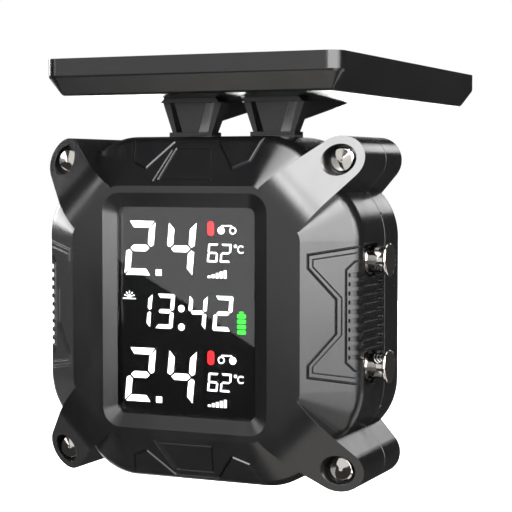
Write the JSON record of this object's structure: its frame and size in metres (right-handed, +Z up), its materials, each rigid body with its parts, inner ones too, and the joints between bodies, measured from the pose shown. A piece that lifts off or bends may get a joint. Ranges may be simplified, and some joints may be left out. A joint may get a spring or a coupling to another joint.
{
  "type": "tire pressure monitor",
  "caption": "Square handlebar display unit with lugs at its corners, sunk LCD window, press buttons, slotted grips and a flat solar panel held over it on legs; threaded insert behind.",
  "frame": {"origin": "mouth of the threaded mount insert, in the middle of the flat rear face of the case", "axes": "+X to the viewer's right, -Y out of the display, +Y out of the rear face, +Z up"},
  "size_m": [0.0572, 0.0722, 0.0669],
  "materials": {
    "shell_plastic": "satin moulded black",
    "window_glass": "polished, lightly smoked",
    "panel_glass": "polished clear",
    "lcd_black": "polished",
    "seal_rubber": "matte",
    "white_plastic": "matte",
    "board_green": "solder-mask gloss",
    "component_black": "matte",
    "core_foam": "matte moulded",
    "antenna_copper": "drawn wire",
    "battery_foil": "satin foil",
    "lead_rubber": "matte",
    "chrome": "polished",
    "steel": "plain",
    "brass": "turned",
    "solar_cell": "polished dark blue"
  },
  "bodies": {
    "case": {"antenna_wire": "antenna_copper", "backlight": "white_plastic", "barrel_nut_lower_left": "chrome", "barrel_nut_lower_right": "chrome", "barrel_nut_upper_left": "chrome", "barrel_nut_upper_right": "chrome", "battery_cell": "battery_foil", "battery_pad": "seal_rubber", "button_collar_lower": "chrome", "button_collar_upper": "chrome", "button_o_ring_lower": "seal_rubber", "button_o_ring_upper": "seal_rubber", "buzzer": "component_black", "case_seal": "seal_rubber", "cell_board": "board_green", "controller_chip": "component_black", "display_window": "window_glass", "front_shell": "shell_plastic", "lcd_holder": "white_plastic", "lcd_panel": "lcd_black", "lead_header": "white_plastic", "lead_plug": "white_plastic", "leg_gasket_left": "seal_rubber", "leg_gasket_right": "seal_rubber", "leg_left": "shell_plastic", "leg_right": "shell_plastic", "leg_screws": "steel", "lug_screw_lower_left": "steel", "lug_screw_lower_right": "steel", "lug_screw_upper_left": "steel", "lug_screw_upper_right": "steel", "main_board": "board_green", "mount_insert": "brass", "panel_core": "core_foam", "panel_cover": "panel_glass", "panel_lead": "lead_rubber", "panel_tray": "shell_plastic", "rear_cover": "shell_plastic", "receiver_module": "board_green", "side_switch_lower": "component_black", "side_switch_upper": "component_black", "solar_cell_1": "solar_cell", "solar_cell_2": "solar_cell", "solar_cell_3": "solar_cell", "solar_cell_4": "solar_cell", "solar_cell_5": "solar_cell", "solar_cell_6": "solar_cell", "window_seal": "seal_rubber", "zebra_strip_lower": "seal_rubber", "zebra_strip_upper": "seal_rubber"},
    "upper_button": {"button_upper": "chrome", "button_clip_upper": "steel", "switch_plunger_upper": "white_plastic"},
    "lower_button": {"button_lower": "chrome", "button_clip_lower": "steel", "switch_plunger_lower": "white_plastic"}
  },
  "joints": [
    {"name": "upper_button_press", "type": "slide", "parent": "case", "child": "upper_button", "axis": [-1, 0, 0], "range_m": [0, 0.0006], "stiffness_N_per_m": 1500},
    {"name": "lower_button_press", "type": "slide", "parent": "case", "child": "lower_button", "axis": [-1, 0, 0], "range_m": [0, 0.0006], "stiffness_N_per_m": 1500}
  ]
}
